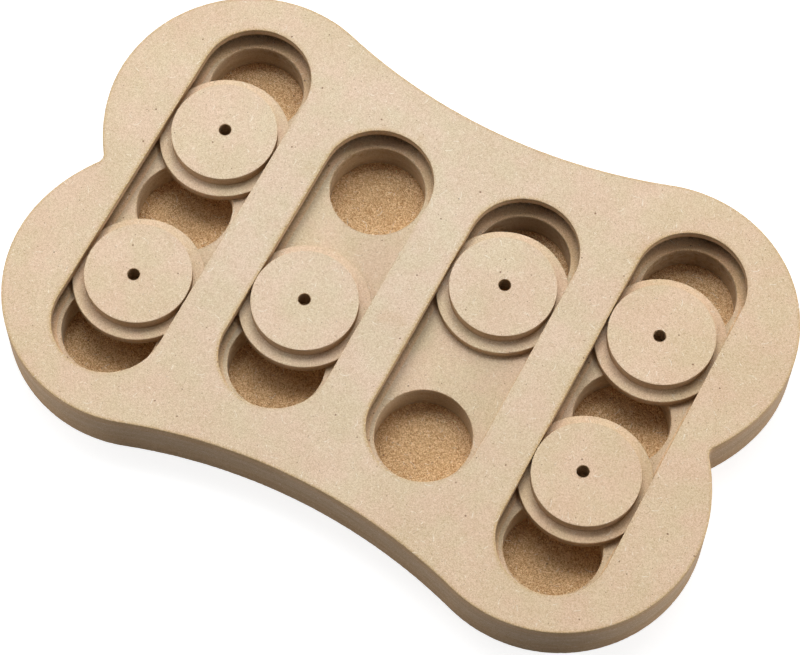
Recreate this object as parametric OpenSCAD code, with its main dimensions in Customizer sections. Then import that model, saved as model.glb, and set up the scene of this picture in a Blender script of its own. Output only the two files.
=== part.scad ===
// Sliding treat puzzle for dogs: a bone-shaped board of two glued fibreboard layers.
// Four T-slots cross it. Each holds one or two flanged pucks, which slide over round treat wells.
// Millimetres, +Z up. The origin is at the middle of the board's underside, and +X runs along the bone.

/* [Board outline] */
// Overall length of the bone, over its lobes
board_len = 300; // [285:1:330]
// Overall width of the bone, over its lobes
board_w = 199.4; // [195:0.2:215]
// Width at the waist, half way along the bone
waist_w = 170; // [165:1:185]
// Radius of the lobes, at the sides of the bone
lobe_r = 58.8; // [54:0.2:62]
// Radius of the flatter arc that runs from a lobe into the end notch
end_r = 72.6; // [66:0.2:90]
// Angle below the X axis at which a lobe hands over to the flatter arc, in degrees
flare_angle = 16; // [8:1:24]
// Radius at the bottom of the notch in each end
notch_r = 3.9; // [2:0.1:8]
// Radius of the eased outer edges, top and bottom
edge_ease = 0.9; // [0.4:0.1:1.6]

/* [Layers] */
// Thickness of the upper board, which the T-slots cut through
upper_t = 9.5; // [8:0.5:14]
// Thickness of the lower board, which holds the wells
lower_t = 16; // [15:0.5:24]
// Thickness of the lip that keeps a puck in its slot
lip_t = 3.6; // [2.8:0.1:4.2]

/* [Slots] */
// How much thicker the wall at each end notch is than the walls between the channels
notch_wall_extra = -0.3; // [-2:0.1:4]
// Wall between an outer slot's channel and the side of the lobes
lobe_wall = 11.1; // [9:0.1:15]
// Wall between an inner slot's channel and the middle of the waist
waist_wall = 14; // [10:0.5:18]
// Gap on each side of a knob in the slot's opening
knob_play = 1.1; // [0.6:0.1:1.5]
// Gap on each side of a flange in the channel under the lip
flange_play = 1.4; // [1.2:0.1:2]
// Radius of the eased rim round each slot
rim_ease = 0.4; // [0.2:0.1:0.8]

/* [Wells] */
// Diameter of a treat well
well_d = 39; // [30:0.5:40]
// Thickness of the board left under a treat well
well_floor = 2.5; // [2.5:0.5:6]
// Radius of the eased rim of a treat well
well_ease = 0.4; // [0.2:0.1:0.8]
// Wells in each outer slot
outer_wells = 3; // [1:1:3]
// Wells in each inner slot
inner_wells = 2; // [1:1:2]

/* [Pucks] */
// Diameter of the knob, which shows in the slot
knob_d = 43.2; // [40:0.1:44.5]
// Diameter of the flange, which runs under the lip
flange_d = 53.2; // [50:0.1:55]
// Thickness of the flange
flange_t = 4; // [3:0.1:4.8]
// Diameter of the hand-drilled hole through a puck
hole_d = 5; // [3:0.5:8]
// How far the holes stray from the pucks' centres
hole_stray = 1.6; // [0:0.1:3]
// Radius of the eased edges of a knob
knob_ease = 0.6; // [0.2:0.1:1]
// Radius of the eased edges of a flange
flange_ease = 0.4; // [0.2:0.1:1]

/* [Where the pucks rest] */
// Rest of the lower puck of each slot, as a share of the play along the slot
lower_rest = [0.337, 0.301, 0.792, 0.436]; // [0:0.001:1]
// Rest of the upper puck of the outer slots, as a share of the play along the slot
upper_rest = [0.603, 0.635]; // [0:0.001:1]

/* [Hidden] */

board_colour = "#dec7aa";
core_colour = "#cdb08a";
puck_colour = "#e1c9ab";

// How far cutters reach past the faces that they cut
past = 1;
// How far neighbouring arcs of the outline run into each other, so that they cross cleanly
meet = 0.03;
// Facets of an eased edge
ease_steps = 3;
// Facets of the small holes, of round pieces, and of the long arcs of the outline
hole_fn = 32;
round_fn = 96;
outline_fn = 240;

slot_w = knob_d + 2 * knob_play;
channel_w = flange_d + 2 * flange_play;
channel_h = upper_t - lip_t;
knob_t = upper_t - flange_t;

// The outline is built from tangent arcs, each quarter a mirror image of the others.
// A lobe's centre
lobe_c = [board_len / 2 - lobe_r, board_w / 2 - lobe_r];
// The waist's arc touches both lobes from outside
waist_rise = waist_w / 2 - lobe_c[1];
waist_r = (pow(lobe_c[0], 2) + pow(waist_rise, 2) - pow(lobe_r, 2)) / (2 * (lobe_r - waist_rise));
waist_c = [0, waist_w / 2 + waist_r];
waist_touch = waist_c + (lobe_c - waist_c) * waist_r / (waist_r + lobe_r);
// The end's flatter arc takes over from the lobe at the flare angle
flare = [cos(flare_angle), -sin(flare_angle)];
end_c = lobe_c - (end_r - lobe_r + meet) * flare;
// The notch's arc touches both end arcs
notch_c = [end_c[0] + sqrt(pow(end_r + notch_r, 2) - pow(end_c[1], 2)), 0];
notch_touch = end_c + (notch_c - end_c) * end_r / (end_r + notch_r);

// The four slots, from -X to +X: travel from one end to the other, and number of wells
outer_travel = board_w - channel_w - 2 * lobe_wall;
inner_travel = waist_w - channel_w - 2 * waist_wall;
slot_travel = [outer_travel, inner_travel, inner_travel, outer_travel];
slot_wells = [outer_wells, inner_wells, inner_wells, outer_wells];
slots = [0 : len(slot_travel) - 1];
// The walls beside the channels share what the four channels leave between the two notches
walls_total = 2 * (notch_c[0] - notch_r - notch_wall_extra) - len(slot_travel) * channel_w;
slot_pitch = channel_w + walls_total / (len(slot_travel) + 1);
function slot_x(slot) = (slot - (len(slot_travel) - 1) / 2) * slot_pitch;

// The pucks: slot, place in the slot counted from -Y, and pucks in that slot
puck_slot = [0, 0, 1, 2, 3, 3];
puck_place = [1, 0, 0, 0, 1, 0];
pucks_in_slot = [2, 1, 1, 2];
// How each puck leans in its slot, as a share of the knob's play, towards +X
puck_lean = [0.27, 0.46, -0.91, 0.13, -0.61, -0.89];
// Where each hand-drilled hole lies off the puck's centre, as shares of how far holes stray
hole_lean = [[-0.06, 0.5], [-0.81, -0.81], [-0.19, 0.19], [0.19, 0.5], [-0.31, -0.56], [-1, 0.25]];
pucks = [0 : len(puck_slot) - 1];

// Share of the slot's play at which a puck rests
function rest_share(puck) =
    let (slot = puck_slot[puck])
    puck_place[puck] == 0 ? lower_rest[slot] : upper_rest[slot == 0 ? 0 : 1];
// A puck's play is the travel less the flanges of the other pucks in the slot
function puck_y(puck) =
    let (slot = puck_slot[puck])
    let (play = slot_travel[slot] - (pucks_in_slot[slot] - 1) * flange_d)
    play * rest_share(puck) + puck_place[puck] * flange_d - slot_travel[slot] / 2;
function puck_x(puck) = slot_x(puck_slot[puck]) + puck_lean[puck] * knob_play;

// Points of an eased edge that ends at radius r and height z. A positive er rounds a rim
// inwards and a negative one outwards. A positive ez is for a top face, a negative one for an underside.
function eased(r, z, er, ez) = [
    for (i = [0 : ease_steps])
        let (turn = 90 * i / ease_steps)
        [r - er * (1 - cos(turn)), z - ez * (1 - sin(turn))]
];
function reversed(points) = [for (i = [len(points) - 1 : -1 : 0]) points[i]];

// Section of a disc of radius r and height h, from its axis outwards
function disc_section(r, h, top_ease, bottom_ease) = concat(
    [[0, 0]],
    bottom_ease > 0 ? reversed(eased(r, 0, bottom_ease, -bottom_ease)) : [[r, 0]],
    top_ease > 0 ? eased(r, h, top_ease, top_ease) : [[r, h]],
    [[0, h]]
);
// Section of a cutter of radius r through a board of thickness h, flared at the eased faces
function cutter_section(r, h, top_ease, bottom_ease) = concat(
    [[0, -past], [r + bottom_ease, -past]],
    bottom_ease > 0 ? reversed(eased(r, 0, -bottom_ease, -bottom_ease)) : [[r, 0]],
    top_ease > 0 ? eased(r, h, -top_ease, top_ease) : [[r, h]],
    [[r + top_ease, h + past], [0, h + past]]
);

function flip(point) = [point[0], -point[1]];

// Copies in all four quarters
module quarters() {
    for (x_side = [0, 1], y_side = [0, 1])
        mirror([x_side, 0, 0]) mirror([0, y_side, 0]) children();
}

// The board's middle, from notch to notch and from waist to waist: its +X half, then the same turned
half_middle = [
    waist_touch, lobe_c, notch_touch, notch_c, flip(notch_touch), flip(lobe_c), flip(waist_touch)
];
middle = concat(half_middle, [for (point = half_middle) -point]);
// The sector in which the flatter arc bounds the board. It runs a little way into the notch's side.
sector_end = [notch_c[0] - notch_r, notch_touch[1] / 2];
sector = [end_c, end_c + 2 * (sector_end - end_c), end_c + 2 * end_r * flare];

// A bone-shaped slab of thickness h, with its edges eased
module bone_slab(h, top_ease, bottom_ease) {
    difference() {
        union() {
            linear_extrude(h) polygon(middle);
            quarters() {
                translate(lobe_c) rotate_extrude($fn = outline_fn)
                    polygon(disc_section(lobe_r, h, top_ease, bottom_ease));
                intersection() {
                    translate(end_c) rotate_extrude($fn = outline_fn)
                        polygon(disc_section(end_r, h, top_ease, bottom_ease));
                    linear_extrude(h) polygon(sector);
                }
            }
        }
        for (y_side = [0, 1]) mirror([0, y_side, 0])
            translate(waist_c) rotate_extrude($fn = 2 * outline_fn)
                polygon(cutter_section(waist_r + meet, h, top_ease, bottom_ease));
        for (x_side = [0, 1]) mirror([x_side, 0, 0])
            translate(notch_c) rotate_extrude($fn = round_fn)
                polygon(cutter_section(notch_r + meet, h, top_ease, bottom_ease));
    }
}

// A cutter with round ends: the section is revolved at both ends and extruded between them
module long_cutter(section, travel) {
    for (side = [-1, 1]) translate([0, side * travel / 2, 0])
        rotate_extrude($fn = round_fn) polygon(section);
    rotate([90, 0, 0]) linear_extrude(travel, center = true) {
        polygon(section);
        mirror([1, 0]) polygon(section);
    }
}

// Section of a T-slot: the wide channel from below, then the opening through the lip
slot_section = concat(
    [[0, -past], [channel_w / 2, -past], [channel_w / 2, channel_h], [slot_w / 2, channel_h]],
    eased(slot_w / 2, upper_t, -rim_ease, rim_ease),
    [[slot_w / 2 + rim_ease, upper_t + past], [0, upper_t + past]]
);

module upper_board() {
    color(board_colour) translate([0, 0, lower_t]) difference() {
        bone_slab(upper_t, edge_ease, 0);
        for (slot = slots) translate([slot_x(slot), 0, 0])
            long_cutter(slot_section, slot_travel[slot]);
    }
}

// Section of a well, from its floor up through its eased rim
well_section = concat(
    [[0, well_floor], [well_d / 2, well_floor]],
    eased(well_d / 2, lower_t, -well_ease, well_ease),
    [[well_d / 2 + well_ease, lower_t + past], [0, lower_t + past]]
);

// The wells of one slot, spread evenly along its travel
module well_cutters(travel, count) {
    for (i = [0 : count - 1])
        translate([0, count == 1 ? 0 : travel * (i / (count - 1) - 0.5), 0])
            rotate_extrude($fn = round_fn) polygon(well_section);
}

module lower_board() {
    color(core_colour) difference() {
        bone_slab(lower_t, 0, edge_ease);
        for (slot = slots) translate([slot_x(slot), 0, 0])
            well_cutters(slot_travel[slot], slot_wells[slot]);
    }
}

// One disc of a puck, drilled through off its centre
module puck_disc(puck, r, h, top_ease, bottom_ease) {
    translate([puck_x(puck), puck_y(puck), 0]) difference() {
        rotate_extrude($fn = round_fn) polygon(disc_section(r, h, top_ease, bottom_ease));
        translate(concat(hole_stray * hole_lean[puck], -past))
            cylinder(d = hole_d, h = h + 2 * past, $fn = hole_fn);
    }
}

// The wide lower disc, which slides on the channel floor
module puck_flange(puck) {
    color(core_colour) translate([0, 0, lower_t])
        puck_disc(puck, flange_d / 2, flange_t, flange_ease, flange_ease);
}

// The narrow upper disc, glued on the flange and flush with the board's face
module puck_knob(puck) {
    color(puck_colour) translate([0, 0, lower_t + flange_t])
        puck_disc(puck, knob_d / 2, knob_t, knob_ease, 0);
}

upper_board();
lower_board();
for (puck = pucks) {
    puck_flange(puck);
    puck_knob(puck);
}
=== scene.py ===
import math

import bpy
import numpy as np
from mathutils import Matrix, Vector, geometry, noise


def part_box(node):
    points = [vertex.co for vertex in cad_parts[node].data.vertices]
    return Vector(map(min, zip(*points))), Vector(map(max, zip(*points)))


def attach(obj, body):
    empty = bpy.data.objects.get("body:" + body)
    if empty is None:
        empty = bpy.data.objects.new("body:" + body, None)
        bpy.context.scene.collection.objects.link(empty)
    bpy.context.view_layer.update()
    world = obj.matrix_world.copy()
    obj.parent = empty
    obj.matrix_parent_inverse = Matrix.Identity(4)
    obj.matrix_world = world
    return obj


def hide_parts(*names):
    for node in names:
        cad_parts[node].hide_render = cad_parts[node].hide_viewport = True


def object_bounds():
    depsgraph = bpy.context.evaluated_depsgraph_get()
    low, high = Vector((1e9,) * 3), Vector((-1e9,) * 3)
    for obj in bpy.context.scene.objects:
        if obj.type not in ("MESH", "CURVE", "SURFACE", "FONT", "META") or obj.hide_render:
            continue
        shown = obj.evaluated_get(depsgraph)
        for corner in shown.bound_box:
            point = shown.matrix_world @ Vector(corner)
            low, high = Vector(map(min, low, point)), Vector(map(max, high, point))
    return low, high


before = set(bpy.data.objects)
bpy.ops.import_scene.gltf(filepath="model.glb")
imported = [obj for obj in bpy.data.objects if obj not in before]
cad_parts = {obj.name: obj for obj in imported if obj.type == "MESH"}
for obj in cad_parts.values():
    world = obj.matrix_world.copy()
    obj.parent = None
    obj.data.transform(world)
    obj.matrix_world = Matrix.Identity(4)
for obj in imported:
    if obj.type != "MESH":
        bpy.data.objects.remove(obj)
cad_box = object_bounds()

# Sizes in this script are millimetres, times MM where Blender takes metres. The lights' are metres.
MM = 0.001

# ---------------------------------------------------------------- sizes, from the frame and by name


def node_box(node):
    """A CAD node's lowest and highest corners, in millimetres."""
    low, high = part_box(node)
    return low / MM, high / MM


UPPER_LOW, UPPER_HIGH = node_box("upper_board")
FLANGE_LOW, FLANGE_HIGH = node_box("puck_1_flange")
KNOB_LOW, KNOB_HIGH = node_box("puck_1_knob")
PUCKS = range(1, 7)

TOP = UPPER_HIGH.z
SEAM = UPPER_LOW.z
BOARD_LEN = UPPER_HIGH.x - UPPER_LOW.x
BOARD_W = UPPER_HIGH.y - UPPER_LOW.y

# The outline's arcs
WAIST_W = 170.0
LOBE_R = 58.8
END_R = 72.6
FLARE = math.radians(16)
NOTCH_R = 3.9

# The slots and wells
LIP_T = 3.6
KNOB_PLAY = 1.1
FLANGE_PLAY = 1.4
LOBE_WALL = 11.1
WAIST_WALL = 14.0
SLOT_PITCH = 65.75
WELL_D = 39.0
WELL_FLOOR = 2.5
KNOB_D = KNOB_HIGH.y - KNOB_LOW.y
FLANGE_D = FLANGE_HIGH.y - FLANGE_LOW.y
SLOT_R = KNOB_D / 2 + KNOB_PLAY
CHANNEL_R = FLANGE_D / 2 + FLANGE_PLAY
OUTER_TRAVEL = BOARD_W - 2 * CHANNEL_R - 2 * LOBE_WALL
INNER_TRAVEL = WAIST_W - 2 * CHANNEL_R - 2 * WAIST_WALL
SLOTS = [
    (-1.5 * SLOT_PITCH, OUTER_TRAVEL, 3),
    (-0.5 * SLOT_PITCH, INNER_TRAVEL, 2),
    (0.5 * SLOT_PITCH, INNER_TRAVEL, 2),
    (1.5 * SLOT_PITCH, OUTER_TRAVEL, 3),
]

# The hand-drilled holes, off the pucks' centres
HOLE_D = 5.0
HOLE_SHIFT = {
    1: (-0.1, 0.8), 2: (-1.3, -1.3), 3: (-0.3, 0.3),
    4: (0.3, 0.8), 5: (-0.5, -0.9), 6: (-1.6, 0.4),
}

# Eased edges
EDGE_EASE = 0.4
RIM_EASE = 0.3
KNOB_EASE = 0.2
KNOB_FOOT_EASE = 0.15
FLANGE_EASE = 0.3
BORE_EASE = 0.12

# How deep an edge with a worn mark of 1 is frayed at most, and how fine the fray is, in bends to a
# millimetre
FRAY = 0.16
FRAY_SCALE = 0.9

# ---------------------------------------------------------------- camera and light

# The camera, fitted to the photograph
CAMERA_AZIMUTH = math.radians(26.657)
CAMERA_HEIGHT = math.radians(66.62)
CAMERA_ROLL = math.radians(1.105)
CAMERA_TARGET = Vector((5.05, -9.92, TOP)) * MM
CAMERA_DISTANCE = 1244.7 * MM
CAMERA_LENS = 141.67
CAMERA_SENSOR = 36.0
CAMERA_REACH = 20000 * MM


def make_camera():
    away = Vector((
        math.sin(CAMERA_AZIMUTH) * math.cos(CAMERA_HEIGHT),
        -math.cos(CAMERA_AZIMUTH) * math.cos(CAMERA_HEIGHT),
        math.sin(CAMERA_HEIGHT),
    ))
    level = Vector((math.cos(CAMERA_AZIMUTH), math.sin(CAMERA_AZIMUTH), 0))
    upward = away.cross(level)
    right = level * math.cos(CAMERA_ROLL) + upward * math.sin(CAMERA_ROLL)
    up = upward * math.cos(CAMERA_ROLL) - level * math.sin(CAMERA_ROLL)
    data = bpy.data.cameras.new("camera")
    data.lens = CAMERA_LENS
    data.sensor_width = CAMERA_SENSOR
    data.clip_end = CAMERA_REACH
    camera = bpy.data.objects.new("camera", data)
    turn = Matrix((right, up, away)).transposed().to_4x4()
    camera.matrix_world = Matrix.Translation(CAMERA_TARGET + away * CAMERA_DISTANCE) @ turn
    bpy.context.scene.collection.objects.link(camera)
    bpy.context.scene.camera = camera


# Softboxes round the object, aimed at its middle: name, compass angle and height angle in degrees,
# distance and size in metres, power in watts
LIGHTS = [
    ("key_far", 112, 45, 1.8, 0.8, 10.3),
    ("key_far_left", 140, 65, 1.8, 0.6, 8.4),
    ("key_far_right", 85, 65, 1.8, 0.6, 7.0),
    ("low_right", 27, 12, 1.8, 0.8, 13.8),
    ("side_right", 0, 30, 1.8, 0.8, 3.4),
    ("low_left", -148, 11, 0.8, 0.36, 2.0),
    ("side_left", 180, 50, 1.8, 0.8, 4.3),
]
WORLD_STRENGTH = 0.06


def soft_light(name, compass, height, distance, size, power):
    """A square softbox, turned towards the object."""
    data = bpy.data.lights.new(name, "AREA")
    data.shape = "SQUARE"
    data.size = size
    data.energy = power
    way = Vector((
        math.cos(math.radians(compass)) * math.cos(math.radians(height)),
        math.sin(math.radians(compass)) * math.cos(math.radians(height)),
        math.sin(math.radians(height)),
    ))
    light = bpy.data.objects.new(name, data)
    light.location = way * distance
    light.rotation_euler = way.to_track_quat("Z", "Y").to_euler()
    bpy.context.scene.collection.objects.link(light)


def make_light():
    for light in LIGHTS:
        soft_light(*light)


def make_world():
    """A world that is white where it is seen, and lights the object only a little."""
    world = bpy.data.worlds.new("studio")
    world.use_nodes = True
    nodes, links = world.node_tree.nodes, world.node_tree.links
    rays = nodes.new("ShaderNodeLightPath").outputs
    seen = nodes.new("ShaderNodeMath")
    seen.operation = "MAXIMUM"
    links.new(rays["Is Camera Ray"], seen.inputs[0])
    links.new(rays["Is Glossy Ray"], seen.inputs[1])
    strength = nodes.new("ShaderNodeMapRange")
    strength.inputs["To Min"].default_value = WORLD_STRENGTH
    links.new(seen.outputs[0], strength.inputs["Value"])
    nodes["Background"].inputs["Color"].default_value = (1, 1, 1, 1)
    links.new(strength.outputs[0], nodes["Background"].inputs["Strength"])
    bpy.context.scene.world = world


# ---------------------------------------------------------------- lines in plan


def arc(centre, radius, start, end, step):
    """Points on an arc from one angle to another, without its last point."""
    count = max(2, round(abs(end - start) * radius / step))
    return [
        (centre[0] + radius * math.cos(start + (end - start) * i / count),
         centre[1] + radius * math.sin(start + (end - start) * i / count))
        for i in range(count)
    ]


def angle_of(way):
    return math.atan2(way[1], way[0])


def quarter_outline(step):
    """The outline's quarter in +X +Y, from the waist's middle to the notch's, without its last point."""
    lobe = (BOARD_LEN / 2 - LOBE_R, BOARD_W / 2 - LOBE_R)
    rise = WAIST_W / 2 - lobe[1]
    waist_r = (lobe[0] ** 2 + rise ** 2 - LOBE_R ** 2) / (2 * (LOBE_R - rise))
    waist = (0, WAIST_W / 2 + waist_r)
    end = (lobe[0] - (END_R - LOBE_R) * math.cos(FLARE), lobe[1] + (END_R - LOBE_R) * math.sin(FLARE))
    notch = (end[0] + math.sqrt((END_R + NOTCH_R) ** 2 - end[1] ** 2), 0)
    to_lobe = angle_of((lobe[0] - waist[0], lobe[1] - waist[1]))
    to_notch = angle_of((notch[0] - end[0], notch[1] - end[1]))
    return (
        arc(waist, waist_r, -math.pi / 2, to_lobe, step)
        + arc(lobe, LOBE_R, to_lobe + math.pi, -FLARE, step)
        + arc(end, END_R, -FLARE, to_notch, step)
        + arc(notch, NOTCH_R, to_notch + math.pi, math.pi, step / 2)
        + [(notch[0] - NOTCH_R, 0)]
    )


def bone_loop(step):
    """The whole outline, anticlockwise."""
    right_top = quarter_outline(step)
    left_top = [(-x, y) for x, y in right_top]
    top = right_top[::-1][:-1] + left_top[:-1]
    return top + [(-x, -y) for x, y in top]


def slot_loop(x, travel, radius, step):
    """A long loop with round ends, anticlockwise."""
    count = round(travel / step)
    side = [(x + radius, -travel / 2 + travel * i / count) for i in range(count)]
    end = arc((x, travel / 2), radius, 0, math.pi, step)
    half = side + end
    return half + [(2 * x - px, -py) for px, py in half]


def circle_loop(x, y, radius, step):
    return arc((x, y), radius, 0, 2 * math.pi, step)


def normals_of(loop):
    """Outward unit normals of an anticlockwise loop."""
    points = np.array(loop)
    along = np.roll(points, -1, 0) - np.roll(points, 1, 0)
    along /= np.linalg.norm(along, axis=1)[:, None]
    return np.stack([along[:, 1], -along[:, 0]], 1)


def ease(radius, steps=4):
    """Offsets inwards and down of an eased edge, from the side face up to the top face."""
    turns = [math.pi / 2 * i / steps for i in range(steps + 1)]
    return [(-radius * (1 - math.cos(turn)), -radius * (1 - math.sin(turn))) for turn in turns]


# ---------------------------------------------------------------- the skin of a piece


# What a point is marked with: a surface made by a cutter, a worn edge, a burnt cut, which also carries
# painted shadow under the lips, how far it lies from the middle of a well, in millimetres, and how far
# towards the well's +Y side, as a share, which places painted light on that side of its floor
MARKS = ("cut", "edge", "burnt", "turn", "far_light")

# Points in plan that are nearer than this count as one
TOUCHING = 1e-6

# A mesh is shaded smooth but for edges that turn by more than this
SHARP_EDGE = math.radians(40)


class Skin:
    """Collects a piece's points, their marks and the faces between them."""

    def __init__(self):
        self.points, self.faces, self.marks, self.lines = [], [], [], []

    def point(self, x, y, z, *marks):
        self.points.append((x, y, z))
        self.marks.append(marks + (0,) * (len(MARKS) - len(marks)))

    def ring(self, loop, normals, side, offset, z, *marks):
        """Adds a loop, moved along its normals and frayed into the piece at a worn edge, and returns where
        it starts and how long it is. The side is 1 on an outside and -1 in a hole."""
        start = len(self.points)
        edge = marks[1] if len(marks) > 1 else 0
        for (x, y), (nx, ny) in zip(loop, normals):
            fray = edge * FRAY * abs(noise.noise(Vector((x, y, z)) * FRAY_SCALE))
            reach = offset - side * fray
            self.point(x + nx * reach, y + ny * reach, z, *marks)
        return start, len(loop)

    def wall(self, loop, profile, outward=True):
        """Rings up a profile of (offset, z, marks), joined by faces that look outward or inward."""
        normals = normals_of(loop)
        rings = [self.ring(loop, normals, 1 if outward else -1, *row) for row in profile]
        for (low, n), (high, _) in zip(rings, rings[1:]):
            for i in range(n):
                j = (i + 1) % n
                face = (low + i, low + j, high + j, high + i)
                self.faces.append(face if outward else face[::-1])
        return rings

    def cap(self, outer, holes, up):
        """A flat face from an outer ring to the holes' rings, through any lines at its height."""
        height = self.points[outer[0]][2]
        rings = [outer] + holes + [line for line in self.lines if self.points[line[0]][2] == height]
        flat = [Vector(self.points[s + i][:2]) for s, n in rings for i in range(n)]
        index = [s + i for s, n in rings for i in range(n)]
        edges, first = [], 0
        for _, n in rings:
            edges += [(first + i, first + (i + 1) % n) for i in range(n)]
            first += n
        made, _, triangles, origins, *_ = geometry.delaunay_2d_cdt(flat, edges, [], 0, TOUCHING)
        loops = [np.array([self.points[s + i][:2] for i in range(n)]) for s, n in [outer] + holes]
        where = [index[o[0]] for o in origins]
        middles = np.array([(made[a] + made[b] + made[c]) / 3 for a, b, c in triangles])
        keep = inside(middles, loops[0])
        for loop in loops[1:]:
            keep &= ~inside(middles, loop)
        for triangle, kept in zip(triangles, keep):
            if kept:
                face = tuple(where[v] for v in triangle)
                self.faces.append(face if up else face[::-1])

    def floor(self, ring, centre, z, rings):
        """A well's floor, in rings from its wall to its centre."""
        start, n = ring
        last = start
        for k in range(1, rings):
            share = 1 - k / rings
            first = len(self.points)
            for i in range(n):
                x, y = (c + (v - c) * share for c, v in zip(centre, self.points[start + i]))
                out = math.hypot(x - centre[0], y - centre[1])
                # The last mark, towards the well's +Y side, places painted light on the floor there
                self.point(x, y, z, 1, 0, 0, out, max(0, (y - centre[1]) * 2 / WELL_D))
            for i in range(n):
                j = (i + 1) % n
                self.faces.append((last + i, last + j, first + j, first + i))
            last = first
        middle = len(self.points)
        self.point(*centre, z, 1)
        for i in range(n):
            self.faces.append((last + i, last + (i + 1) % n, middle))

    def line(self, loop, z, offset):
        """Adds a line of points for a flat face to pass through."""
        self.lines.append(self.ring(loop, normals_of(loop), 1, offset, z))

    def piece(self, name, body, node, material):
        """Makes the Blender object that stands for a CAD node."""
        mesh = bpy.data.meshes.new(name)
        mesh.from_pydata([Vector(p) * MM for p in self.points], [], self.faces)
        for mark, values in zip(MARKS, np.array(self.marks, np.float32).T):
            layer = mesh.attributes.new(mark, "FLOAT", "POINT")
            layer.data.foreach_set("value", np.ascontiguousarray(values))
        mesh.materials.append(material)
        mesh.validate()
        mesh.shade_smooth()
        mesh.set_sharp_from_angle(angle=SHARP_EDGE)
        made = bpy.data.objects.new(name, mesh)
        bpy.context.scene.collection.objects.link(made)
        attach(made, body)
        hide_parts(node)


def inside(points, loop):
    """Which points lie inside a loop, by counting crossings."""
    ends = np.roll(loop, -1, 0)
    result = np.zeros(len(points), bool)
    for (x0, y0), (x1, y1) in zip(loop, ends):
        if y0 == y1:
            continue
        crosses = (y0 > points[:, 1]) != (y1 > points[:, 1])
        result ^= crosses & (points[:, 0] < x0 + (x1 - x0) * (points[:, 1] - y0) / (y1 - y0))
    return result


def spread(low, high, step):
    """Heights from low to high, both left out, about a step apart."""
    count = max(1, round((high - low) / step))
    return [low + (high - low) * i / count for i in range(1, count)]


# ---------------------------------------------------------------- pieces

# How far apart the points along a loop are, and the rings up a wall
OUTLINE_STEP = 0.9
SLOT_STEP = 0.8
WELL_STEP = 1.0
PUCK_STEP = 0.8
BORE_STEP = 0.5
WALL_RISE = 1.2
LIP_RISE = 0.7
WELL_RISE = 1.1
PUCK_RISE = 0.6
BORE_RISE = 0.8
WELL_RINGS = 18
SMALL_EASE_STEPS = 3

# What each surface is marked with, in the order of MARKS
UPPER_BAND = (1,)
LOWER_BAND = (1, 0, 0.22)
LOWER_BAND_TOP = (1, 0, 0.1)
BOTTOM_EDGE = (1, 1)
TOP_EDGE_LOW = (1, 0.8)
TOP_EDGE_HIGH = (0, 0.8)
# The lip's foot is marked nearly black, as painted shadow under the lip's edge
LIP_FOOT = (1, 1.8, 1.8)
ABOVE_LIP_FOOT = (1, 0.4, 1)
LIP = (1, 0, 0.15)
LIP_HEAD = (1, 0, 1)
RIM_LOW = (1, 1, 1.2)
RIM_HIGH = (0, 1)
# The channel's walls under the lips are darkened as painted shade in the undercut
CHANNEL = (1, 0, 1.6)
WELL_SIDE = (1, 0, 0, WELL_D / 2)
WELL_RIM = (0.3, 0, 0, WELL_D / 2)
BORE = (1, 0, 1.2)
BORE_RIM = (1, 0, 0.8)

# How worn and how burnt the discs' edges and sides are
DISC_EDGE = 0.3
FLANGE_BURNT = 0.9
FLANGE_WORN = 0.6
KNOB_BURNT = 0.2
KNOB_WORN = 0

# On the flat face past an eased edge: distances from the edge, and how worn the face still is there
TOP_EDGE_FADE = ((0.4, 0.4), (1.2, 0))
RIM_FADE = ((0.4, 0.7), (0.9, 0.4), (1.5, 0))
WELL_RIM_FADE = ((0.1, 0), (0.8, 0))
DISC_FADE = ((0.25, 0), (1.2, 0))
BORE_FADE = ((0.1, 0), (0.6, 0))

# How far the marks of a foot fade out over the piece's underside
BOARD_FOOT_FADE = 1.0
DISC_FOOT_FADE = 0.8
BORE_FOOT_FADE = 0.8

# The lips' undersides, the height over which a lip's foot, darkened as painted shadow, fades, and how far
# under its eased rim it is darkened again
LIP_LOW = TOP - LIP_T
LIP_FOOT_T = 0.3
LIP_HEAD_T = 0.5

# How far down from the top a slot's rim is rubbed, how much of its worn colour it has at the slot's ends,
# and how much more or less at its -X and +X sides
RUBBED_T = 1.0
RUBBED = 0.6
RUBBED_LEAN = 0.4

# How dark the channel's floor is painted, as shadow under the lips, at distances from the slot's middle
# line, at its sides and at its +Y end, and the stretch in which the one turns into the other
LIP_SHADOW_SIDE = ((20.9, 0), (22.0, 0.2), (23.6, 0.7), (25.0, 1.2))
LIP_SHADOW_END = ((19.3, 0), (19.8, 0.13), (22.0, 0.18), (23.6, 0.6), (25.0, 1.1))
LIP_SHADOW_TURN = 12

# The lines of points that carry those steps: how far the first lies inside the slot's opening, and each
# one's distance from it
LIP_SHADOW_INSET = 1.8
LIP_SHADOW_LINES = (0, 1.1, 2.7, 4.1)


def straight(low, high, step, marks):
    """A profile's rows straight up a wall from low to high, both left out."""
    return [(0, z, *marks) for z in spread(low, high, step)]


def eased(radius, z, low_marks, high_marks, low_rows=2, side=1):
    """A profile's rows round an eased edge, from the side face up to the top face at z. The lowest rows
    have marks of their own. The side is 1 on an outside and -1 in a hole."""
    return [
        (side * dx, z + dz, *(low_marks if i < low_rows else high_marks))
        for i, (dx, dz) in enumerate(ease(radius))
    ]


def eased_hole(radius, z, marks):
    """A profile's rows round the small eased rim of a hole."""
    return [(-dx, z + dz, *marks) for dx, dz in ease(radius, SMALL_EASE_STEPS)]


def faded(radius, z, fade, side=1):
    """A profile's rows on the flat face past an eased edge, as its worn colour fades."""
    return [(-side * (radius + out), z, 0, worn) for out, worn in fade]


def in_channel(x, y):
    """How far a point lies from the middle line of the channel that it is in: in all, towards +X, and past
    the line's ends. It is None for a point in no channel."""
    for slot_x, travel, _ in SLOTS:
        across, past = x - slot_x, max(0, abs(y) - travel / 2)
        out = math.hypot(across, past)
        if out < CHANNEL_R:
            return out, across, past
    return None


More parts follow.
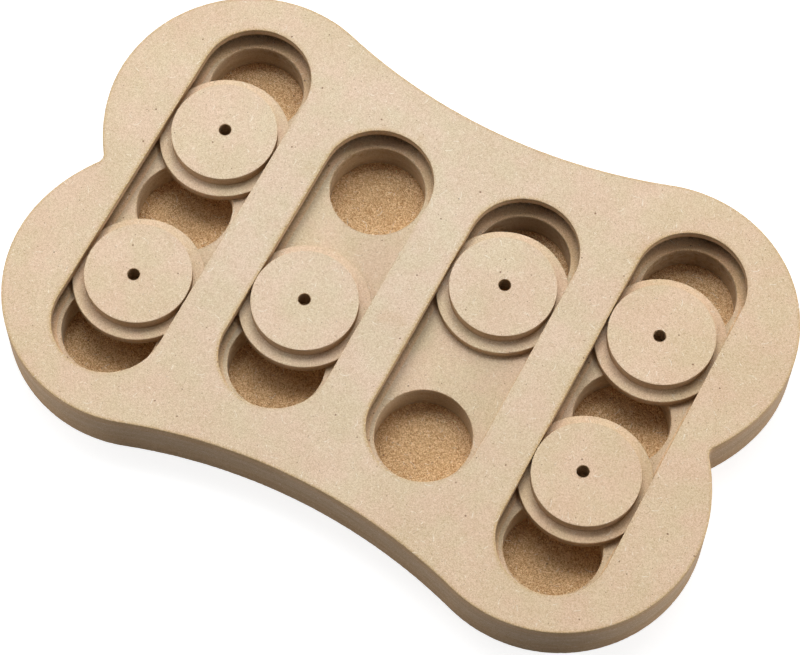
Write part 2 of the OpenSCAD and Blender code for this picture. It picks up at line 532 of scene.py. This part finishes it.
def rubbing(x, y):
    """How much of its worn colour a slot's rim has at a point: most at its -X side and least at its +X
    side. Away from the slots it is 1."""
    found = in_channel(x, y)
    if found is None:
        return 1
    out, across, _ = found
    return RUBBED - RUBBED_LEAN * across / out


def lip_shadow(x, y):
    """How dark the channel's floor is painted at a point, as shadow under the lips: most under the lip,
    and a little more widely at the +Y ends."""
    found = in_channel(x, y)
    if found is None:
        return 0
    out, _, past = found
    side = np.interp(out, *zip(*LIP_SHADOW_SIDE))
    end = np.interp(out, *zip(*LIP_SHADOW_END))
    share = min(1, past / LIP_SHADOW_TURN) if y > 0 else 0
    return side + (end - side) * share


def slot_opening(skin, x, travel):
    """The walls of a slot's opening, from the lips' undersides up to its rim."""
    # The lip's foot is darkened as painted shadow under its edge
    return skin.wall(slot_loop(x, travel, SLOT_R, SLOT_STEP), (
        [(0, LIP_LOW, *LIP_FOOT), (0, LIP_LOW + LIP_FOOT_T, *ABOVE_LIP_FOOT)]
        + [(0, LIP_LOW + LIP_RISE, *LIP)]
        + straight(LIP_LOW + LIP_RISE, TOP - RIM_EASE - LIP_RISE, LIP_RISE, LIP)
        + [(0, TOP - RIM_EASE - LIP_HEAD_T, *LIP_HEAD)]
        + eased(RIM_EASE, TOP, RIM_LOW, RIM_HIGH, side=-1)
        + faded(RIM_EASE, TOP, RIM_FADE, side=-1)
    ), outward=False)


def slot_channel(skin, x, travel):
    """The walls of the channel under a slot's lips, from its floor up to their undersides."""
    # The channel's walls are darkened as painted shade in the undercut under the lips
    return skin.wall(slot_loop(x, travel, CHANNEL_R, SLOT_STEP), (
        [(0, SEAM, *CHANNEL)]
        + straight(SEAM, LIP_LOW, WALL_RISE, CHANNEL)
        + [(0, LIP_LOW, *CHANNEL)]
    ), outward=False)


def make_upper_board(material):
    skin = Skin()
    outer = skin.wall(bone_loop(OUTLINE_STEP), (
        [(0, SEAM, *UPPER_BAND)]
        + straight(SEAM, TOP - EDGE_EASE, WALL_RISE, UPPER_BAND)
        + eased(EDGE_EASE, TOP, TOP_EDGE_LOW, TOP_EDGE_HIGH)
        + faded(EDGE_EASE, TOP, TOP_EDGE_FADE)
    ))
    top_holes, bottom_holes = [], []
    for x, travel, _ in SLOTS:
        opening = slot_opening(skin, x, travel)
        channel = slot_channel(skin, x, travel)
        skin.cap(channel[-1], [opening[0]], up=False)
        top_holes.append(opening[-1])
        bottom_holes.append(channel[0])
    skin.marks = [
        (cut, edge * (rubbing(x, y) if z > TOP - RUBBED_T else 1), *others)
        for (x, y, z), (cut, edge, *others) in zip(skin.points, skin.marks)
    ]
    skin.cap(outer[-1], top_holes, up=True)
    skin.cap(outer[0], bottom_holes, up=False)
    skin.piece("upper_board_skin", "board", "upper_board", material)


def well_side(skin, x, y):
    """A well's wall, from its floor up to its rim in the channel's floor."""
    return skin.wall(circle_loop(x, y, WELL_D / 2, WELL_STEP), (
        [(0, WELL_FLOOR, *WELL_SIDE)]
        + straight(WELL_FLOOR, SEAM - RIM_EASE, WELL_RISE, WELL_SIDE)
        + eased_hole(RIM_EASE, SEAM, WELL_RIM)
        + faded(RIM_EASE, SEAM, WELL_RIM_FADE, side=-1)
    ), outward=False)


def make_lower_board(material):
    skin = Skin()
    outer = skin.wall(bone_loop(OUTLINE_STEP), (
        [(-EDGE_EASE - BOARD_FOOT_FADE, 0)]
        + [(dx, -dz, *BOTTOM_EDGE) for dx, dz in ease(EDGE_EASE)[::-1]]
        + straight(EDGE_EASE, SEAM, WALL_RISE, LOWER_BAND)
        + [(0, SEAM, *LOWER_BAND_TOP)]
    ))
    rims = []
    for x, travel, count in SLOTS:
        for i in range(count):
            y = travel * (i / (count - 1) - 0.5)
            well = well_side(skin, x, y)
            skin.floor(well[0], (x, y), WELL_FLOOR, WELL_RINGS)
            rims.append(well[-1])
        for offset in LIP_SHADOW_LINES:
            skin.line(slot_loop(x, travel, SLOT_R - LIP_SHADOW_INSET, SLOT_STEP), SEAM, offset)
    # Points on the channel's floor take painted shadow under the lips
    skin.marks = [
        (cut, edge, max(burnt, lip_shadow(x, y)) if z == SEAM else burnt, turn, far_light)
        for (x, y, z), (cut, edge, burnt, turn, far_light) in zip(skin.points, skin.marks)
    ]
    skin.cap(outer[-1], rims, up=True)
    skin.cap(outer[0], [], up=False)
    skin.piece("lower_board_skin", "board", "lower_board", material)


def disc_side(skin, x, y, radius, low, high, top_ease, bottom_ease, burnt, worn):
    """A disc's side between two heights, burnt most at its foot and worn pale at its top."""
    rows = []
    for z in spread(low + bottom_ease, high - top_ease, PUCK_RISE):
        share = (z - low) / (high - low)
        rows.append((0, z, 1 - worn * share ** 2, 0, burnt * (1 - share)))
    foot = ease(bottom_ease, SMALL_EASE_STEPS)[::-1]
    return skin.wall(circle_loop(x, y, radius, PUCK_STEP), (
        [(-bottom_ease - DISC_FOOT_FADE, low)]
        + [(dx, low - dz, 1, DISC_EDGE, burnt) for dx, dz in foot]
        + rows
        + eased(top_ease, high, (1 - worn, DISC_EDGE), (0, DISC_EDGE), low_rows=1)
        + faded(top_ease, high, DISC_FADE)
    ))


def disc_bore(skin, x, y, low, high):
    """The drilled hole through a disc, from its underside up to its eased rim."""
    return skin.wall(circle_loop(x, y, HOLE_D / 2, BORE_STEP), (
        [(BORE_FOOT_FADE, low), (0, low, *BORE)]
        + straight(low, high - BORE_EASE, BORE_RISE, BORE)
        + eased_hole(BORE_EASE, high, BORE_RIM)
        + faded(BORE_EASE, high, BORE_FADE, side=-1)
    ), outward=False)


def make_disc(number, part, radius, top_ease, bottom_ease, burnt, worn, material):
    """A puck's lower disc, its flange, or its upper one, its knob."""
    node = f"puck_{number}_{part}"
    low, high = node_box(node)
    x, y = (low.x + high.x) / 2, (low.y + high.y) / 2
    shift_x, shift_y = HOLE_SHIFT[number]
    skin = Skin()
    side = disc_side(skin, x, y, radius, low.z, high.z, top_ease, bottom_ease, burnt, worn)
    bore = disc_bore(skin, x + shift_x, y + shift_y, low.z, high.z)
    skin.cap(side[-1], [bore[-1]], up=True)
    skin.cap(side[0], [bore[0]], up=False)
    skin.piece(f"{node}_skin", f"puck_{number}", node, material)


def make_pucks(flange_board, knob_board):
    for number in PUCKS:
        make_disc(
            number, "flange", FLANGE_D / 2, FLANGE_EASE, FLANGE_EASE, FLANGE_BURNT, FLANGE_WORN,
            flange_board,
        )
        make_disc(
            number, "knob", KNOB_D / 2, KNOB_EASE, KNOB_FOOT_EASE, KNOB_BURNT, KNOB_WORN,
            knob_board,
        )


# ---------------------------------------------------------------- materials


class Graph:
    """A material's node tree, with a short call for each kind of node."""

    def __init__(self, name):
        self.material = bpy.data.materials.new(name)
        self.material.use_nodes = True
        self.nodes = self.material.node_tree.nodes
        self.links = self.material.node_tree.links
        self.shader = self.nodes["Principled BSDF"]

    def put(self, value, socket):
        """Sets a socket to a value, or links another node's output to it."""
        if isinstance(value, bpy.types.NodeSocket):
            self.links.new(value, socket)
        else:
            socket.default_value = value

    def node(self, kind, inputs=(), **settings):
        made = self.nodes.new("ShaderNode" + kind)
        for key, value in settings.items():
            setattr(made, key, value)
        for key, value in dict(inputs).items():
            self.put(value, made.inputs[key])
        return made

    def maths(self, operation, *values, clamp=False):
        made = self.node("Math", operation=operation, use_clamp=clamp)
        for value, socket in zip(values, made.inputs):
            self.put(value, socket)
        return made.outputs[0]

    def times(self, first, second):
        return self.maths("MULTIPLY", first, second)

    def times_add(self, value, factor, added, clamp=False):
        return self.maths("MULTIPLY_ADD", value, factor, added, clamp=clamp)

    def vector(self, operation, *values):
        made = self.node("VectorMath", operation=operation)
        for value, socket in zip(values, made.inputs):
            self.put(value, socket)
        return made.outputs["Value" if operation == "LENGTH" else "Vector"]

    def split(self, vector):
        """A vector's X, Y and Z."""
        return self.node("SeparateXYZ", {"Vector": vector}).outputs

    def split_colour(self, colour):
        return self.node("SeparateColor", {"Color": colour}).outputs

    def colour(self, red, green, blue):
        return self.node("CombineColor", {"Red": red, "Green": green, "Blue": blue}).outputs[0]

    def mix(self, share, low, high, blend="MIX"):
        made = self.node("Mix", data_type="RGBA", blend_type=blend)
        self.put(share, made.inputs["Factor"])
        self.put((*low, 1) if isinstance(low, tuple) else low, made.inputs[6])
        self.put((*high, 1) if isinstance(high, tuple) else high, made.inputs[7])
        return made.outputs[2]

    def tinted(self, colour, tint):
        """A colour times another."""
        return self.mix(1.0, colour, tint, "MULTIPLY")

    def noise(self, place, scale, detail=2.0, roughness=0.5):
        inputs = {"Vector": place, "Scale": scale, "Detail": detail, "Roughness": roughness}
        return self.node("TexNoise", inputs).outputs["Fac"]

    def between(self, value, low, high, new_low=0.0, new_high=1.0):
        """A value's smooth place between two limits."""
        inputs = {"Value": value, "From Min": low, "From Max": high, "To Min": new_low, "To Max": new_high}
        return self.node("MapRange", inputs, interpolation_type="SMOOTHSTEP").outputs[0]

    def attribute(self, name):
        return self.node("Attribute", attribute_name=name).outputs["Fac"]

    def around(self, value, strength):
        """1, plus a value's distance from a half times a strength."""
        return self.times_add(value, strength, 1 - strength / 2)


# How much of the pattern's place in plan a millimetre of height is worth, so that each level has its own
LEVEL_SHIFT_X = 7.3
LEVEL_SHIFT_Y = 3.1

# How level a face is where it counts as flat and as upright: 1 is level and 0 upright
LEVEL = 0.7
UPRIGHT = 0.3

# The grain's patterns, from fine to broad: how fine each one is, in features to a millimetre, and how much
# it lightens and darkens the board
CHIPS_SCALE = 3.3
CHIPS_LIGHT = 0.38
CLUMPS_SCALE = 1.1
CLUMPS_LIGHT = 0.06
MEDIUM_SCALE = 0.42
MEDIUM_LIGHT = 0.05
BROAD_SCALE = 0.035
BROAD_LIGHT = 0.17

# Where a cutter has been: how much more the chips show in the wells' floors, and how fine and how strong
# the smears on upright cuts are, which are longer than they are high
FLOOR_CHIPS_LIGHT = 0.35
SMEAR_SCALE = (0.045, 0.045, 0.38)
SMEAR_LIGHT = 0.5

# The cutter's rings on a well's floor: radians of their wave to a millimetre, how far they wander, how
# much they darken it and how deep they are
RING_TURN = 2.7
RING_WANDER = 9.0
RING_LIGHT = -0.22
RING_HEIGHT = -0.8

# A dark grain is redder than a pale one: the powers of the grain's light in red and blue
RED_POWER = 0.75
BLUE_POWER = 1.4

# The bump: how fine the grit is, its height on a face and its further height in a well's floor, a pale
# fibre's height, and the millimetres that a height of 1 stands for
GRIT_SCALE = 2.3
GRIT_HEIGHT = 0.4
FLOOR_GRIT_HEIGHT = 2.4
FIBRE_HEIGHT = 0.3
RELIEF = 0.2

BOARD_ROUGHNESS = 0.75
BOARD_SPECULAR = 0.15

# How each material slot's sheet differs in colour
UPPER_TONE = (1.0, 1.0, 1.0)
LOWER_TONE = (1.02, 1.0, 0.95)
FLANGE_TONE = (1.06, 1.03, 0.98)
KNOB_TONE = (1.01, 1.0, 0.99)

# A sanded face, which is pinkish in places and greenish in others, with faint stains
PINKISH = (0.760, 0.578, 0.421)
GREENISH = (0.726, 0.588, 0.404)
TINT_SCALE = 0.055
STAIN = (0.640, 0.440, 0.260)
STAIN_SCALE = 0.045
STAIN_STRENGTH = 0.35

# A painted sheen: a board is bluer about a place in plan and yellower towards its rim: the place, how
# near to it and how far from it each colour is full, and the tints there
SHEEN_PLACE = (-30.0, 20.0, 0.0)
SHEEN_REACH = (20.0, 190.0)
SHEEN_TINT = (1.0, 1.02, 1.05)
OFF_SHEEN_TINT = (1.0, 0.955, 0.91)

# A well's floor, from its dark chips to its pale ones, and the painted light on its shaded +Y side: its
# tint, and how far from the well's middle it starts and is strongest
CUT_DARK = (0.630, 0.345, 0.160)
CUT_PALE = (0.840, 0.595, 0.320)
FAR_LIGHT_TINT = (1.2, 1.25, 1.35)
FAR_LIGHT_REACH = (12.5, 16.5)

# A well's wall, with painted shade at its ends and painted light at its sides, and how its painted light
# changes as it faces +X
WELL_WALL = (0.475, 0.380, 0.272)
WELL_END_SHADE = (0.87, 0.85, 0.84)
WELL_SIDE_LIGHT = (1.50, 1.45, 1.35)
WELL_LEAN_LIGHT = -0.1

# An upright cut is a well's wall where it lies no further than this inside the wells' radius
WELL_WALL_NEAR = 0.5

# A sawn edge, and a greyer band about the boards' seam, with the heights at which the band starts and ends
CUT_WALL = (0.545, 0.362, 0.214)
CUT_MID_BAND = (0.530, 0.374, 0.242)
MID_BAND_START = (6.0, 14.0)
MID_BAND_END = (22.0, 19.5)

# The colours of marks: the warm tint of painted shade on a flat face, burnt and scorched cuts, which also
# serve as painted shadow under the lips, and a worn edge
SHADE_WARM_TINT = (1.14, 1.02, 0.90)
BURNT_AND_SHADOW = (0.380, 0.265, 0.155)
SCORCHED_AND_SHADOW = (0.170, 0.110, 0.065)
EDGE = (0.600, 0.410, 0.190)

# Loose fibres: the pattern's cell, half a fibre's length and width, and the share of cells that have one
PALE_FIBRES = ((3.1, 0.9, 0.15, 0.35), (8.3, 1.9, 0.22, 0.35))
PALE_FIBRE = (0.98, 0.92, 0.80)
PALE_STRENGTH = 0.65
DARK_FIBRES = ((3.7, 0.7, 0.14, 0.5), (11.3, 1.4, 0.18, 0.3))
DARK_FIBRE = (0.42, 0.26, 0.15)
DARK_STRENGTH = 0.55

# Flecks: the pattern's cell, a fleck's radius, the share of cells that have one, and its strength
FLECKS = ((4.3, 0.24, 0.4, 0.6), (13.7, 0.42, 0.35, 0.85))
FLECK = (0.24, 0.12, 0.07)


class Fibreboard(Graph):
    """Fibreboard, sanded on flat faces, and rougher and browner where a cutter has been."""

    def __init__(self, name):
        super().__init__(name)
        whole = self.node("TexCoord").outputs["Object"]
        self.place = self.vector("MULTIPLY", whole, (1 / MM, 1 / MM, 1 / MM))
        self.x, self.y, self.z = self.split(self.place)
        self.flat = self.node("CombineXYZ", {
            "X": self.times_add(self.z, LEVEL_SHIFT_X, self.x),
            "Y": self.times_add(self.z, LEVEL_SHIFT_Y, self.y),
        }).outputs[0]
        self.facing = self.split(self.node("NewGeometry").outputs["Normal"])
        upright = self.between(self.maths("ABSOLUTE", self.facing[2]), LEVEL, UPRIGHT)
        self.cut, self.edge, self.burnt, self.turn, self.far_light = (self.attribute(mark) for mark in MARKS)
        self.cut_floor = self.times(self.cut, self.maths("SUBTRACT", 1.0, upright))
        self.cut_wall = self.times(self.cut, upright)
        chips = self.node("TexVoronoi", {"Vector": self.place, "Scale": CHIPS_SCALE}).outputs["Color"]
        self.chips = self.split_colour(chips)[0]
        self.clumps = self.noise(self.place, CLUMPS_SCALE, 3.0, 0.6)
        self.medium = self.noise(self.place, MEDIUM_SCALE)
        self.broad = self.noise(self.place, BROAD_SCALE, 2.0, 0.6)
        self.pale = self.maths("MAXIMUM", *(self.fibres(*row) for row in PALE_FIBRES))
        self.dark = self.maths("MAXIMUM", *(self.fibres(*row) for row in DARK_FIBRES))
        self.rings = self.cutter_rings()

    def cells(self, size):
        """A flat pattern of uneven cells, and three random values for each cell."""
        inputs = {"Vector": self.flat, "Scale": 1 / size}
        cells = self.node("TexVoronoi", inputs, voronoi_dimensions="2D").outputs
        return cells, self.split_colour(cells["Color"])

    def fibres(self, cell, half_length, half_width, share):
        """One curved fibre in a share of a pattern's cells."""
        cells, chance = self.cells(cell)
        local = self.vector("SUBTRACT", self.flat, cells["Position"])
        angle = self.times(chance[0], math.pi)
        turned = self.node("VectorRotate", {"Vector": local, "Angle": angle}, rotation_type="Z_AXIS")
        along, across, _ = self.split(turned.outputs[0])
        bend = self.times_add(chance[1], 0.5, -0.25)
        across = self.times_add(self.times(along, along), bend, across)
        reach = self.times_add(chance[1], half_length * 0.7, half_length * 0.3)
        thin = self.between(self.maths("ABSOLUTE", across), half_width, 0)
        short = self.between(self.maths("SUBTRACT", self.maths("ABSOLUTE", along), reach), 0.2, -0.2)
        there = self.maths("LESS_THAN", chance[2], share)
        return self.times(self.times(thin, short), there)

    def flecks(self, cell, radius, share):
        """A small fleck in a share of a pattern's cells."""
        cells, chance = self.cells(cell)
        size = self.times_add(chance[1], radius * 0.6, radius * 0.4)
        gap = self.maths("SUBTRACT", self.times(cells["Distance"], cell), size)
        there = self.maths("LESS_THAN", chance[2], share)
        return self.times(self.between(gap, 0.08, -0.08), there)

    def cutter_rings(self):
        """The cutter's fine rings on the wells' floors, which show in places."""
        wander = self.maths("SUBTRACT", self.broad, 0.5)
        swing = self.times_add(wander, RING_WANDER, self.times(self.turn, RING_TURN))
        rings = self.between(self.maths("SINE", swing), 0.6, 1.0)
        rings = self.times(rings, self.between(self.medium, 0.45, 0.65))
        return self.times(rings, self.between(self.turn, 0.2, 1.2))

    def sanded(self, tone):
        """The colour of a sanded face. The tone multiplies it, as each layer comes from its own sheet."""
        tint = self.between(self.noise(self.flat, TINT_SCALE, 2.5, 0.6), 0.32, 0.68)
        # A painted sheen: bluer about a place in plan and yellower towards the rim
        plan = self.node("CombineXYZ", {"X": self.x, "Y": self.y}).outputs[0]
        out = self.vector("LENGTH", self.vector("SUBTRACT", plan, SHEEN_PLACE))
        sheen = self.mix(self.between(out, *SHEEN_REACH), SHEEN_TINT, OFF_SHEEN_TINT)
        colour = self.tinted(self.mix(tint, PINKISH, GREENISH), self.tinted(sheen, tone))
        stain = self.between(self.noise(self.flat, STAIN_SCALE, 5.0, 0.65), 0.62, 0.74)
        return self.mix(self.times(stain, STAIN_STRENGTH), colour, STAIN)

    def shade_warmed(self, colour):
        """A flat face's colour, a little browner where it carries burn and shade, so that the painted
        shadow under the lips is warm.
        """
        return self.mix(self.between(self.burnt, 0.0, 0.12), colour, self.tinted(colour, SHADE_WARM_TINT))

    def well_floor(self):
        """The colour of a well's floor, paler and greyer at its +Y side with painted light where the
        wall's shade falls.
        """
        grain = self.times_add(self.chips, 0.8, self.times_add(self.clumps, 0.8, -0.3), clamp=True)
        far_lit = self.times(self.far_light, self.between(self.turn, *FAR_LIGHT_REACH))
        far_lit = self.mix(far_lit, (1.0, 1.0, 1.0), FAR_LIGHT_TINT)
        return self.tinted(self.mix(grain, CUT_DARK, CUT_PALE), far_lit)

    def well_wall(self):
        """The colour of a well's wall, with painted light on its sides, painted shade on its ends, and a
        little more painted light on its +X side.
        """
        sideways = self.times(self.facing[0], self.facing[0])
        side_lit = self.tinted(WELL_WALL, self.mix(sideways, WELL_END_SHADE, WELL_SIDE_LIGHT))
        lean_light = self.times_add(self.facing[0], WELL_LEAN_LIGHT, 1.0)
        return self.tinted(side_lit, self.colour(lean_light, lean_light, lean_light))

    def sawn_edge(self):
        """The colour of an upright cut, greyer about the boards' seam than at the top and bottom."""
        mid_band = self.times(self.between(self.z, *MID_BAND_START), self.between(self.z, *MID_BAND_END))
        return self.mix(mid_band, CUT_WALL, CUT_MID_BAND)

    def marked(self, colour):
        """A colour with the marks of heat and wear on it, whose burnt and scorched colours also paint
        shadow under the lips.
        """
        burnt = self.times(self.burnt, self.between(self.clumps, 0.25, 0.6, 1.0, 0.6))
        colour = self.mix(burnt, colour, BURNT_AND_SHADOW)
        colour = self.mix(self.between(self.burnt, 1.0, 2.0), colour, SCORCHED_AND_SHADOW)
        worn = self.times(self.edge, self.between(self.clumps, 0.3, 0.6, 0.2, 0.9))
        return self.mix(worn, colour, EDGE)

    def strewn(self, colour):
        """A colour with loose fibres and flecks on it."""
        colour = self.mix(self.times(self.pale, PALE_STRENGTH), colour, PALE_FIBRE)
        colour = self.mix(self.times(self.dark, DARK_STRENGTH), colour, DARK_FIBRE)
        for cell, radius, share, strength in FLECKS:
            colour = self.mix(self.times(self.flecks(cell, radius, share), strength), colour, FLECK)
        return colour

    def grained(self, colour):
        """A colour, lighter and darker with the grain."""
        light = self.around(self.chips, CHIPS_LIGHT)
        light = self.times(light, self.around(self.clumps, CLUMPS_LIGHT))
        light = self.times(light, self.around(self.medium, MEDIUM_LIGHT))
        light = self.times(light, self.around(self.broad, BROAD_LIGHT))
        chips = self.times_add(self.chips, FLOOR_CHIPS_LIGHT, -FLOOR_CHIPS_LIGHT / 2)
        light = self.times(light, self.times_add(self.cut_floor, chips, 1.0))
        light = self.times(light, self.times_add(self.rings, RING_LIGHT, 1.0))
        smears = self.noise(self.vector("MULTIPLY", self.place, SMEAR_SCALE), 1.0, 3.0, 0.5)
        smears = self.times(self.cut_wall, self.maths("SUBTRACT", smears, 0.5))
        light = self.times(light, self.times_add(smears, SMEAR_LIGHT, 1.0))
        red = self.maths("POWER", light, RED_POWER)
        blue = self.maths("POWER", light, BLUE_POWER)
        return self.tinted(colour, self.colour(red, light, blue))

    def relief(self):
        """The bump of grit, rings and pale fibres."""
        grit = self.noise(self.place, GRIT_SCALE, 1.0, 0.5)
        rough = self.times(grit, self.times_add(self.cut_floor, FLOOR_GRIT_HEIGHT, GRIT_HEIGHT))
        height = self.times_add(self.pale, FIBRE_HEIGHT, self.times_add(self.rings, RING_HEIGHT, rough))
        bump = {"Height": height, "Strength": 1.0, "Distance": RELIEF * MM}
        return self.node("Bump", bump).outputs[0]


def fibreboard(name, tone):
    board = Fibreboard(name)
    in_well = board.maths("GREATER_THAN", board.turn, WELL_D / 2 - WELL_WALL_NEAR)
    colour = board.mix(board.cut_floor, board.shade_warmed(board.sanded(tone)), board.well_floor())
    colour = board.mix(board.cut_wall, colour, board.mix(in_well, board.sawn_edge(), board.well_wall()))
    colour = board.grained(board.strewn(board.marked(colour)))
    board.put(colour, board.shader.inputs["Base Color"])
    board.put(board.relief(), board.shader.inputs["Normal"])
    board.shader.inputs["Roughness"].default_value = BOARD_ROUGHNESS
    board.shader.inputs["Specular IOR Level"].default_value = BOARD_SPECULAR
    return board.material


# The floor: how white it is where it is seen and where it only lights the object, and its own glow where
# it is seen
FLOOR_SEEN = 0.50
FLOOR_BOUNCE = 0.40
FLOOR_GLOW = 0.80

# Half its width, and how far it lies under the object, so that the two share no plane
FLOOR_HALF = 3000 * MM
FLOOR_DROP = 0.2 * MM


def floor_material():
    """White where it is seen, partly by its own glow so that shadows on it are faint, and duller to the
    light that it throws back at the object."""
    graph = Graph("studio_floor")
    rays = graph.node("LightPath").outputs
    seen = graph.maths("MAXIMUM", rays["Is Camera Ray"], rays["Is Glossy Ray"])
    shade = graph.times_add(seen, FLOOR_SEEN - FLOOR_BOUNCE, FLOOR_BOUNCE)
    graph.put(graph.colour(shade, shade, shade), graph.shader.inputs["Base Color"])
    graph.shader.inputs["Roughness"].default_value = 1.0
    graph.shader.inputs["Specular IOR Level"].default_value = 0.0
    graph.shader.inputs["Emission Color"].default_value = (1, 1, 1, 1)
    graph.put(graph.times(seen, FLOOR_GLOW), graph.shader.inputs["Emission Strength"])
    return graph.material


def make_floor():
    mesh = bpy.data.meshes.new("floor")
    corners = [(x * FLOOR_HALF, y * FLOOR_HALF, 0) for x, y in ((-1, -1), (1, -1), (1, 1), (-1, 1))]
    mesh.from_pydata(corners, [], [(0, 1, 2, 3)])
    mesh.materials.append(floor_material())
    floor = bpy.data.objects.new("floor", mesh)
    floor.location.z = cad_box[0][2] - FLOOR_DROP
    bpy.context.scene.collection.objects.link(floor)


# ---------------------------------------------------------------- the scene

make_camera()
make_light()
make_world()
make_floor()
make_upper_board(fibreboard("upper_fibreboard", UPPER_TONE))
make_lower_board(fibreboard("lower_fibreboard", LOWER_TONE))
make_pucks(fibreboard("flange_fibreboard", FLANGE_TONE), fibreboard("puck_fibreboard", KNOB_TONE))

bpy.context.scene.view_settings.view_transform = "Standard"
